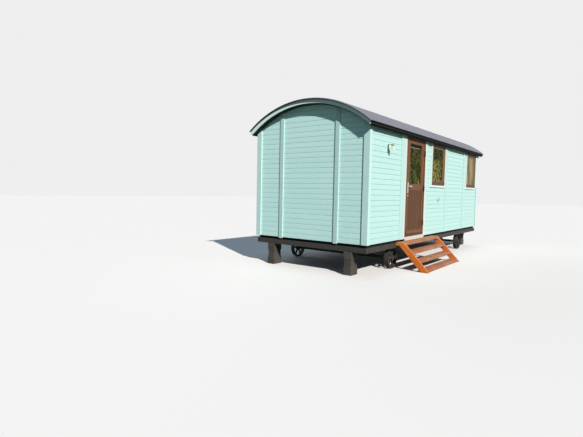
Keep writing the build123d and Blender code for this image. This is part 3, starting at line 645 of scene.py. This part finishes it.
def boarding(name, low, high, face, courses, finish, openings=(), arched=False):
    """Level boards with chamfered edges between two corners; face is the outer (axis, place)."""
    axis, place = face
    piece = block(name, low, (high[0], high[1], low[2] + COURSE - BOARD_GAP))
    with editing(piece):
        pick(piece, lambda e: all_at(e, axis, place) and runs(e, 1 - axis), "EDGE")
        bpy.ops.mesh.bevel(offset=BOARD_CHAMFER, segments=2, affect="EDGES")
    repeat(piece, courses, (0, 0, COURSE))
    for x_low, x_high, z_low, z_high in openings:
        cut(piece, block("opening", (x_low, low[1] - 0.1, z_low), (x_high, high[1] + 0.1, z_high)))
    if arched:
        arch = rod("arch", ((low[0] + high[0]) / 2, Y_MID, ARCH_Z), ARCH_R, 0.2, 0, sides=160)
        cut(piece, arch, "INTERSECT")
    else:
        with editing(piece):
            bpy.ops.mesh.select_all(action="SELECT")
            bpy.ops.mesh.bisect(plane_co=(0, 0, high[2]), plane_no=(0, 0, 1), clear_outer=True,
                                use_fill=True)
    dress(shade(piece), "hut", finish)


def wall_core(node, name, axis, outward):
    """A CAD wall with its outer face set back to make room for the boards."""
    piece = welded(node, name)
    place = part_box(node)[1 if outward > 0 else 0][axis]
    with editing(piece):
        pick(piece, lambda f: all_at(f, axis, place))
        shift = [0, 0, 0]
        shift[axis] = -outward * BOARD_T
        bpy.ops.transform.translate(value=shift)
    dress(piece, "hut", lining_boards, [node])


# Openings in the door side: x and z from and to
WINDOW_W = 0.905
posts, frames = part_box("door_frame_posts"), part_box("window_frames")
DOOR = (posts[0].x, posts[1].x, FOOT - 0.1, posts[1].z)
NEAR_WINDOW = (frames[0].x, frames[0].x + WINDOW_W, frames[0].z, frames[1].z)
FAR_WINDOW = (frames[1].x - WINDOW_W, frames[1].x, frames[0].z, frames[1].z)
PLATE_TOP = ARCH_Z + sqrt(ARCH_R**2 - (BACK - Y_MID) ** 2) - 0.004
inner_near, inner_far = OUTER_NEAR + BOARD_T, OUTER_FAR - BOARD_T

boarding("front_boards", (inner_near, OUTER_FRONT, FOOT),
         (inner_far, OUTER_FRONT + BOARD_T, PLATE_TOP), (1, OUTER_FRONT), SIDE_COURSES, board_paint,
         openings=(DOOR, NEAR_WINDOW, FAR_WINDOW))
boarding("back_boards", (inner_near, OUTER_BACK - BOARD_T, FOOT), (inner_far, OUTER_BACK, PLATE_TOP),
         (1, OUTER_BACK), SIDE_COURSES, board_paint)
boarding("near_end_boards", (OUTER_NEAR, OUTER_FRONT, FOOT), (inner_near, OUTER_BACK, WALL_CROWN),
         (0, OUTER_NEAR), END_COURSES, end_lightened_paint, arched=True)
boarding("far_end_boards", (inner_far, OUTER_FRONT, FOOT), (OUTER_FAR, OUTER_BACK, WALL_CROWN),
         (0, OUTER_FAR), END_COURSES, end_lightened_paint, arched=True)
wall_core("near_end_wall", "near_end_lining", 0, -1)
wall_core("far_end_wall", "far_end_lining", 0, 1)
wall_core("back_wall", "back_lining", 1, 1)
for node in ("front_wall_panels", "front_wall_under_windows", "front_wall_plate"):
    wall_core(node, node + "_lining", 1, -1)


# Timber with eased edges

def eased(node, width, finish, body="hut", segments=2):
    """A CAD node with its edges taken off by this width."""
    dress(soften(welded(node, node + "_eased"), width, segments), body, finish, [node])


eased("corner_boards", 0.003, trim_paint)
eased("end_wall_strips", 0.003, strip_darkened_paint)
eased("side_wall_strips", 0.003, strip_darkened_paint)
eased("door_trim", 0.003, pale_paint)
eased("threshold", 0.004, threshold_paint)
eased("door_frame_posts", 0.002, post_stain)
eased("door_frame_rails", 0.002, rail_stain)
eased("door_leaf", 0.0015, door_stain, "door")
eased("window_frames", 0.0025, window_stain)
eased("window_casements", 0.004, window_stain)
# Painted shade: the floor base is near-black for the shaded recess under the walls.
eased("floor_base", 0.003, near_black_shade_paint)
eased("step_stringers", 0.005, stringer_stain)
for number in range(1, TREADS + 1):
    eased(f"step_tread_{number}", 0.006, tread_stain, segments=3)
eased("support_stacks", 0.006, stack_stain)

eaves_low, eaves_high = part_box("eave_boards")
deck_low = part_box("roof_deck")[0]


def bargeboards():
    """Cut level with the eave boards' foot, and square behind the front eave board."""
    piece = welded("bargeboards", "bargeboards_eased")
    foot, behind = (0, 0, eaves_low.z), (0, deck_low.y, 0)
    with editing(piece):
        for place, outward in ((foot, (0, 0, -1)), (behind, (0, -1, 0))):
            bpy.ops.mesh.select_all(action="SELECT")
            bpy.ops.mesh.bisect(plane_co=place, plane_no=outward, clear_outer=True, use_fill=True)
    dress(soften(piece, 0.003), "hut", barge_lightened_paint, ["bargeboards"])


def window_trim():
    """The far window's outer board is wide enough to meet the corner board."""
    piece = welded("window_trim", "window_trim_eased")
    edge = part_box("window_trim")[1].x
    with editing(piece):
        pick(piece, lambda f: all_at(f, 0, edge))
        bpy.ops.transform.translate(value=(FAR - CORNER_SIDE_W - 0.001 - edge, 0, 0))
    dress(soften(piece, 0.003), "hut", pale_paint, ["window_trim"])


def window_sills():
    """Sill boards nearly flush with the trim above them, and a little deeper than the CAD's."""
    piece = welded("window_sills", "window_sills_eased")
    _, front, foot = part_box("window_sills")[0]
    with editing(piece):
        pick(piece, lambda f: all_at(f, 1, front))
        bpy.ops.transform.translate(value=(0, FRONT - 0.002 - front, 0))
        pick(piece, lambda f: all_at(f, 2, foot))
        bpy.ops.transform.translate(value=(0, 0, -0.020))
    dress(soften(piece, 0.004), "hut", sill_paint, ["window_sills"])


def eave_boards():
    """The front board, painted near-black for the shade under the sheets, runs on past the
    bargeboards; the back one is painted as the trim is.
    """
    front = welded("eave_boards", "eave_board_front")
    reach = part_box("bargeboards")[1].x - eaves_high.x
    with editing(front):
        for side in (-1, 1):
            end = side * eaves_high.x
            pick(front, lambda f: all_at(f, 0, end) and f.calc_center_median().y < Y_MID)
            bpy.ops.transform.translate(value=(side * reach, 0, 0))
        pick(front, lambda f: f.calc_center_median().y > Y_MID)
        bpy.ops.mesh.separate(type="SELECTED")
    back = next(o for o in bpy.context.selected_objects if o is not front)
    back.name = back.data.name = "eave_board_back"
    dress(soften(front, 0.002), "hut", near_black_shade_paint, ["eave_boards"])
    dress(soften(back, 0.002), "hut", trim_paint)


bargeboards()
eave_boards()
window_trim()
window_sills()

# Metalwork
for node in ("chassis_rails", "end_beams", "cross_members"):
    eased(node, 0.002, chassis_paint)
eased("axles", 0.0015, chassis_paint)
for wheel in ("near_front_wheel", "near_back_wheel", "far_front_wheel", "far_back_wheel"):
    eased(wheel, 0.003, iron_paint, wheel)
eased("door_handle", 0.003, satin_steel, "lever", 3)
eased("door_handle_plates", 0.0015, satin_steel, "door")
eased("door_hinge_pins", 0.0008, hinge_steel)
eased("door_hinge_plates", 0.0008, hinge_steel, "door")
eased("hold_back_hook", 0.0015, hook_zinc)
eased("wall_lamp", 0.0015, lamp_metal)
eased("wall_lamp_glass", 0.002, lantern_glass())


# Roof

def roof_sheet(name, first, last):
    """One corrugated sheet: a zigzag line, rounded to waves, and spun over the arch."""
    start, end = (sheets_low.x + WAVE_PITCH * n for n in (first, last))
    bpy.ops.mesh.primitive_plane_add(size=1, location=((start + end) / 2, Y_MID + 0.5, ARCH_Z))
    bpy.context.active_object.scale = (end - start, 1, 1)
    piece = settle(name)
    with editing(piece):
        pick(piece, lambda v: v.co.y > Y_MID + 0.5, "VERT")
        bpy.ops.mesh.delete(type="VERT")
        bpy.ops.mesh.select_all(action="SELECT")
        bpy.ops.mesh.subdivide(number_cuts=2 * (last - first) - 1)
        pick(piece, lambda v: round((v.co.x - start) / WAVE_PITCH * 2) % 2 == 1, "VERT")
        bpy.ops.transform.translate(value=(0, 0, WAVE_DEPTH * 1.6))
        bpy.ops.mesh.select_all(action="SELECT")
        bpy.ops.mesh.bevel(affect="VERTICES", offset=WAVE_PITCH * 0.24, segments=2)
        heights = [v.co.z for v in bmesh.from_edit_mesh(piece.data).verts]
        bpy.ops.mesh.select_all(action="SELECT")
        bpy.ops.transform.resize(value=(1, 1, WAVE_DEPTH / (max(heights) - min(heights))),
                                 center_override=(0, Y_MID, max(heights)))
        bpy.ops.transform.translate(value=(0, 0, ARCH_Z + SHEET_TOP_R - max(heights)))
        if first:
            pick(piece, lambda v: v.co.x < start + 1.3 * WAVE_PITCH, "VERT")
            bpy.ops.transform.translate(value=(0, 0, SHEET_T + 0.0002))
        half = asin(half_span / (SHEET_TOP_R + SHEET_SLACK)) - 0.0002
        bpy.ops.mesh.select_all(action="SELECT")
        bpy.ops.transform.rotate(value=-half, orient_axis="X", center_override=ARCH_AXIS)
        low = min(v.co.y for v in bmesh.from_edit_mesh(piece.data).verts)
        way = 1 if low < Y_MID else -1
        bpy.ops.mesh.spin(steps=36, angle=way * 2 * half, center=ARCH_AXIS, axis=(1, 0, 0))
        bpy.ops.mesh.select_all(action="SELECT")
        bpy.ops.mesh.remove_doubles(threshold=0.00001)
        bpy.ops.mesh.normals_make_consistent(inside=False)
        top = max(bmesh.from_edit_mesh(piece.data).faces, key=lambda f: f.calc_center_median().z)
        if top.normal.z < 0:
            bpy.ops.mesh.flip_normals()
    return modify(piece, "SOLIDIFY", thickness=SHEET_T, offset=-1.0)


laps = zip(SHEET_LAPS, SHEET_LAPS[1:])
sheets = [roof_sheet("sheet", max(0, first - 1), last) for first, last in laps]
roof = joined("roof_sheets_corrugated", sheets)
only(roof)
bpy.ops.object.shade_smooth_by_angle(angle=radians(50))
dress(roof, "hut", roof_coating, ["roof_sheets"])


def roof_deck():
    """The deck with the sharp corners planed off level along both eaves."""
    piece = welded("roof_deck", "roof_deck_planed")
    with editing(piece):
        bpy.ops.mesh.select_all(action="SELECT")
        bpy.ops.mesh.bisect(plane_co=(0, 0, deck_low.z + DECK_PLANED), plane_no=(0, 0, -1),
                            clear_outer=True, use_fill=True)
    # Painted shade: the deck is near-black for the shade under the overhangs.
    dress(soften(piece, 0.002), "hut", soffit_shade_paint, ["roof_deck"])


roof_deck()


# Floor boards

def floor_boards():
    """Boards laid along the hut, full depth, with eased top edges."""
    low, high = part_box("floor")
    width = (high.y - low.y) / FLOOR_BOARDS
    piece = block("floor_boards_laid", low, (high.x, low.y + width - 0.0012, high.z))
    with editing(piece):
        pick(piece, lambda e: all_at(e, 2, high.z) and runs(e, 0), "EDGE")
        bpy.ops.mesh.bevel(offset=0.0015, segments=2, affect="EDGES")
    repeat(piece, FLOOR_BOARDS, (0, width, 0))
    dress(shade(piece), "hut", floor_stain, ["floor"])


floor_boards()


# Glass

for node, finish in (("door_glass", door_pane), ("window_glass", window_pane)):
    nodes[node].data.materials.clear()
    nodes[node].data.materials.append(finish)


# Beads, weather bar, bolts, screws and roof fixings

def glazing_bead(name, low, high, width, chamfer, finish, body):
    """A moulded frame in front of a pane; low and high are its corners."""
    piece = block(name, low, high)
    with editing(piece):
        pick(piece, lambda f: abs(f.normal.y) > 0.9)
        bpy.ops.mesh.inset(thickness=width)
        bpy.ops.mesh.bridge_edge_loops()
        pick(piece, lambda e: all_at(e, 1, low[1]) and all(
            low[0] + 0.001 < v.co.x < high[0] - 0.001 and low[2] + 0.001 < v.co.z < high[2] - 0.001
            for v in e.verts), "EDGE")
        bpy.ops.mesh.bevel(offset=chamfer, segments=3, affect="EDGES")
    dress(shade(piece), body, finish)


def weather_bar():
    """The sloping bar that throws water off the door's foot."""
    low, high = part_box("door_leaf")
    x_low, x_high = low.x + 0.022, high.x - 0.030
    z_low, z_high = low.z + 0.028, low.z + 0.085
    front = low.y - BAR_OUT
    piece = block("door_weather_bar", (x_low, front, z_low), (x_high, low.y, z_high))
    with editing(piece):
        pick(piece, lambda e: all_at(e, 1, front) and all_at(e, 2, z_high), "EDGE")
        bpy.ops.transform.translate(value=(0, 0.004, -BAR_FALL))
        pick(piece, lambda f: f.normal.z < -0.9)
        bpy.ops.mesh.inset(thickness=0.006)
        bpy.ops.mesh.extrude_region_shrink_fatten(TRANSFORM_OT_shrink_fatten={"value": -0.004})
    dress(soften(piece, 0.002), "door", rail_stain)


def bolt(name, place, axis, outward):
    """A hexagon head on a washer; place is on the face that it is screwed to."""
    out = Vector([outward * (n == axis) for n in range(3)])
    washer = rod(name, Vector(place) + out * 0.0010, WASHER_R, 0.0030, axis, 12)
    head = rod(name + "_head", Vector(place) + out * 0.0060, BOLT_HEAD_R, 0.0090, axis, 6)
    with editing(head):
        pick(head, lambda f: f.normal.dot(out) > 0.9)
        bpy.ops.mesh.inset(thickness=0.0025)
        bpy.ops.transform.translate(value=out * 0.0012)
    return joined(name, [washer, head])


def bolts():
    """One bolt modelled for each face, and copied to its other places."""
    beam_low, beam_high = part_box("end_beams")
    rail_low, rail_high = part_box("chassis_rails")
    z = (beam_low.z + beam_high.z) / 2
    made = []
    for x, outward in ((beam_low.x, -1), (beam_high.x, 1)):
        first = bolt("beam_bolt", (x, beam_low.y + BEAM_BOLT_IN, z), 0, outward)
        made += [first] + [copied(first, "beam_bolt_copy", (0, step, 0)) for step in BEAM_BOLT_STEPS]
    for y, outward in ((rail_low.y, -1), (rail_high.y, 1)):
        first = bolt("rail_bolt", (rail_low.x + RAIL_BOLT_IN, y, z), 1, outward)
        made += [first] + [copied(first, "rail_bolt_copy", (step, 0, 0)) for step in RAIL_BOLT_STEPS]
    dress(shade(joined("chassis_bolts", made), 30), "hut", bolt_steel)


def tread_screws():
    """Countersunk heads at both ends of each tread."""
    low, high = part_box("step_tread_1")
    place = (low.x + SCREW_IN, low.y + SCREW_BACK, high.z - 0.0002)
    first = rod("tread_screw", place, 0.0055, 0.0024, 2, sides=12)
    with editing(first):
        pick(first, lambda f: f.normal.z > 0.9)
        bpy.ops.mesh.inset(thickness=0.0016)
        bpy.ops.mesh.extrude_region_shrink_fatten(TRANSFORM_OT_shrink_fatten={"value": -0.0012})
    made = []
    for number in range(1, TREADS + 1):
        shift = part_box(f"step_tread_{number}")[0] - low
        for across in (0, high.x - low.x - 2 * SCREW_IN):
            for back in (0, SCREW_APART):
                made.append(copied(first, "tread_screw_copy", (across, shift.y + back, shift.z)))
    bpy.data.objects.remove(first)
    dress(shade(joined("tread_screws", made), 30), "hut", zinc)


def roof_fixings():
    """A cap and washer on every third crest, in rows over the arch."""
    x = sheets_low.x + 1.5 * WAVE_PITCH
    top = ARCH_Z + SHEET_TOP_R
    washer = rod("washer", (x, Y_MID, top + 0.0002), 0.0130, 0.0024, 2, 10)
    with editing(washer):
        pick(washer, lambda f: f.normal.z > 0.9)
        bpy.ops.mesh.inset(thickness=0.0045)
        bpy.ops.mesh.extrude_region_shrink_fatten(TRANSFORM_OT_shrink_fatten={"value": 0.0045})
        bpy.ops.mesh.inset(thickness=0.0020)
        bpy.ops.transform.translate(value=(0, 0, 0.0012))
    row = []
    for angle in FIXING_ANGLES:
        made = copied(washer, "roof_fixing")
        with editing(made):
            bpy.ops.mesh.select_all(action="SELECT")
            bpy.ops.transform.rotate(value=radians(angle), orient_axis="X", center_override=ARCH_AXIS)
        row.append(made)
    bpy.data.objects.remove(washer)
    piece = joined("roof_fixings", row)
    repeat(piece, (WAVES - 2) // FIXING_CRESTS + 1, (FIXING_CRESTS * WAVE_PITCH, 0, 0))
    dress(shade(piece, 30), "hut", zinc)


door_pane_low, door_pane_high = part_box("door_glass")
panes_low, panes_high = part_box("window_glass")
pane_w = WINDOW_W - 2 * (panes_low.x - frames[0].x)
glazing_bead("door_glazing_bead", (door_pane_low.x, door_pane_low.y - BEAD_OUT, door_pane_low.z),
             (door_pane_high.x, door_pane_low.y, door_pane_high.z), 0.011, 0.007, rail_stain, "door")
for name, x_low in (("near_window_bead", panes_low.x), ("far_window_bead", panes_high.x - pane_w)):
    glazing_bead(name, (x_low, panes_low.y - BEAD_OUT, panes_low.z),
                 (x_low + pane_w, panes_low.y, panes_high.z), 0.010, 0.006, window_stain, "hut")
weather_bar()
bolts()
tread_screws()
roof_fixings()


# Blind

def blind():
    """A pleated blind drawn up under its head box, with a pale bar along its foot."""
    low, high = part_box("door_blind")
    box_foot, bar_top = high.z - BLIND_BOX, low.z + BLIND_BAR
    head = block("blind_head_box", (low.x, low.y, box_foot), high)
    with editing(head):
        pick(head, lambda f: f.normal.y < -0.9)
        bpy.ops.mesh.inset(thickness=0.005)
        bpy.ops.transform.translate(value=(0, 0.002, 0))
    dress(soften(head, 0.002), "door", blind_metal, ["door_blind"])

    bar = block("blind_foot_bar", (low.x, low.y + 0.001, low.z), (high.x, low.y + 0.013, bar_top))
    with editing(bar):
        pick(bar, lambda f: abs(f.normal.z) > 0.9)
        bpy.ops.mesh.inset(thickness=0.002)
        bpy.ops.mesh.extrude_region_shrink_fatten(TRANSFORM_OT_shrink_fatten={"value": -0.001})
    dress(soften(bar, 0.0015), "door", bar_paint)

    width, drop = high.x - low.x - 2 * BLIND_CLEAR, box_foot - bar_top
    place = ((low.x + high.x) / 2, low.y + 0.007, bar_top + drop / 2)
    bpy.ops.mesh.primitive_plane_add(size=1, location=place, rotation=(pi / 2, 0, 0))
    bpy.context.active_object.scale = (width, drop, 1)
    cloth = settle("blind_cloth_pleats")
    with editing(cloth):
        pick(cloth, lambda e: runs(e, 2), "EDGE")
        bpy.ops.mesh.subdivide(number_cuts=2 * PLEATS - 1)
        for fold, shift in ((1, PLEAT_DEPTH / 2), (0, -PLEAT_DEPTH / 2)):
            pick(cloth, lambda v: round((v.co.z - bar_top) / drop * 2 * PLEATS) % 2 == fold, "VERT")
            bpy.ops.transform.translate(value=(0, shift, 0))
    dress(cloth, "door", blind_weave())


blind()


# Camera, light and floor

def stand_camera():
    """The photograph's place and angle."""
    yaw, pitch, roll = (radians(angle) for angle in (CAMERA_YAW, CAMERA_PITCH, CAMERA_ROLL))
    ahead = Vector((cos(pitch) * cos(yaw), cos(pitch) * sin(yaw), sin(pitch)))
    right = Vector((sin(yaw), -cos(yaw), 0))
    up = right.cross(ahead)
    right, up = cos(roll) * right + sin(roll) * up, cos(roll) * up - sin(roll) * right
    turn = Matrix((right, up, -ahead)).transposed().to_4x4()
    data = bpy.data.cameras.new("camera")
    data.lens, data.sensor_width = LENS, SENSOR_W
    camera = bpy.data.objects.new("camera", data)
    bpy.context.scene.collection.objects.link(camera)
    place = Vector((NEAR, FRONT, FOOT)) + Vector(CAMERA_FROM_CORNER)
    camera.matrix_world = Matrix.Translation(place) @ turn
    bpy.context.scene.camera = camera


def seen_directly(tree):
    """1 for camera, glossy and transmission rays, which see the pale background."""
    rays = tree.nodes.new("ShaderNodeLightPath")
    total = rays.outputs["Is Camera Ray"]
    for name in ("Is Glossy Ray", "Is Transmission Ray"):
        add = tree.nodes.new("ShaderNodeMath")
        add.operation = "MAXIMUM"
        tree.links.new(total, add.inputs[0])
        tree.links.new(rays.outputs[name], add.inputs[1])
        total = add.outputs[0]
    return total


def surround():
    """Soft blue light from all around, behind a pale background for the rays that see it."""
    world = bpy.data.worlds.new("studio")
    bpy.context.scene.world = world
    world.use_nodes = True
    tree = world.node_tree
    fill = tree.nodes["Background"]
    fill.inputs["Color"].default_value = (0.43, 0.69, 1.0, 1)
    fill.inputs["Strength"].default_value = 0.225
    backdrop = tree.nodes.new("ShaderNodeBackground")
    backdrop.inputs["Color"].default_value = (0.86, 0.86, 0.86, 1)
    mix = tree.nodes.new("ShaderNodeMixShader")
    tree.links.new(seen_directly(tree), mix.inputs[0])
    tree.links.new(fill.outputs[0], mix.inputs[1])
    tree.links.new(backdrop.outputs[0], mix.inputs[2])
    tree.links.new(mix.outputs[0], tree.nodes["World Output"].inputs["Surface"])


def sun_lamp(name, strength, width, colour, direction):
    """Light from far off; width is its angle in degrees, and direction is where it shines."""
    sun = bpy.data.lights.new(name, "SUN")
    sun.energy, sun.angle, sun.color = strength, radians(width), colour
    lamp = bpy.data.objects.new(name, sun)
    bpy.context.scene.collection.objects.link(lamp)
    lamp.rotation_euler = Vector(direction).to_track_quat("-Z", "Y").to_euler()


def studio_floor():
    """Pale where it is seen, and darker for the light that it sends up."""
    bpy.ops.mesh.primitive_plane_add(size=160, location=(0, 0, 0))
    floor = settle("studio_floor")
    pale = bpy.data.materials.new("pale_floor")
    pale.use_nodes = True
    tree = pale.node_tree
    shader = tree.nodes["Principled BSDF"]
    shader.inputs["Roughness"].default_value = 0.9
    shader.inputs["Specular IOR Level"].default_value = 0.0
    colour = tree.nodes.new("ShaderNodeMix")
    colour.data_type = "RGBA"
    colour.inputs[6].default_value = (0.10, 0.12, 0.08, 1)
    colour.inputs[7].default_value = (0.84, 0.81, 0.78, 1)
    tree.links.new(seen_directly(tree), colour.inputs[0])
    tree.links.new(colour.outputs[2], shader.inputs["Base Color"])
    floor.data.materials.append(pale)


stand_camera()
surround()
sun_lamp("key_light", 4.9, 1.2, (1.0, 0.970, 0.935), (0.178, 0.332, -0.261))
sun_lamp("back_light", 1.1, 60, (0.92, 0.96, 1.0), (-0.45, -0.85, -0.25))
studio_floor()
bpy.context.scene.view_settings.view_transform = "Standard"
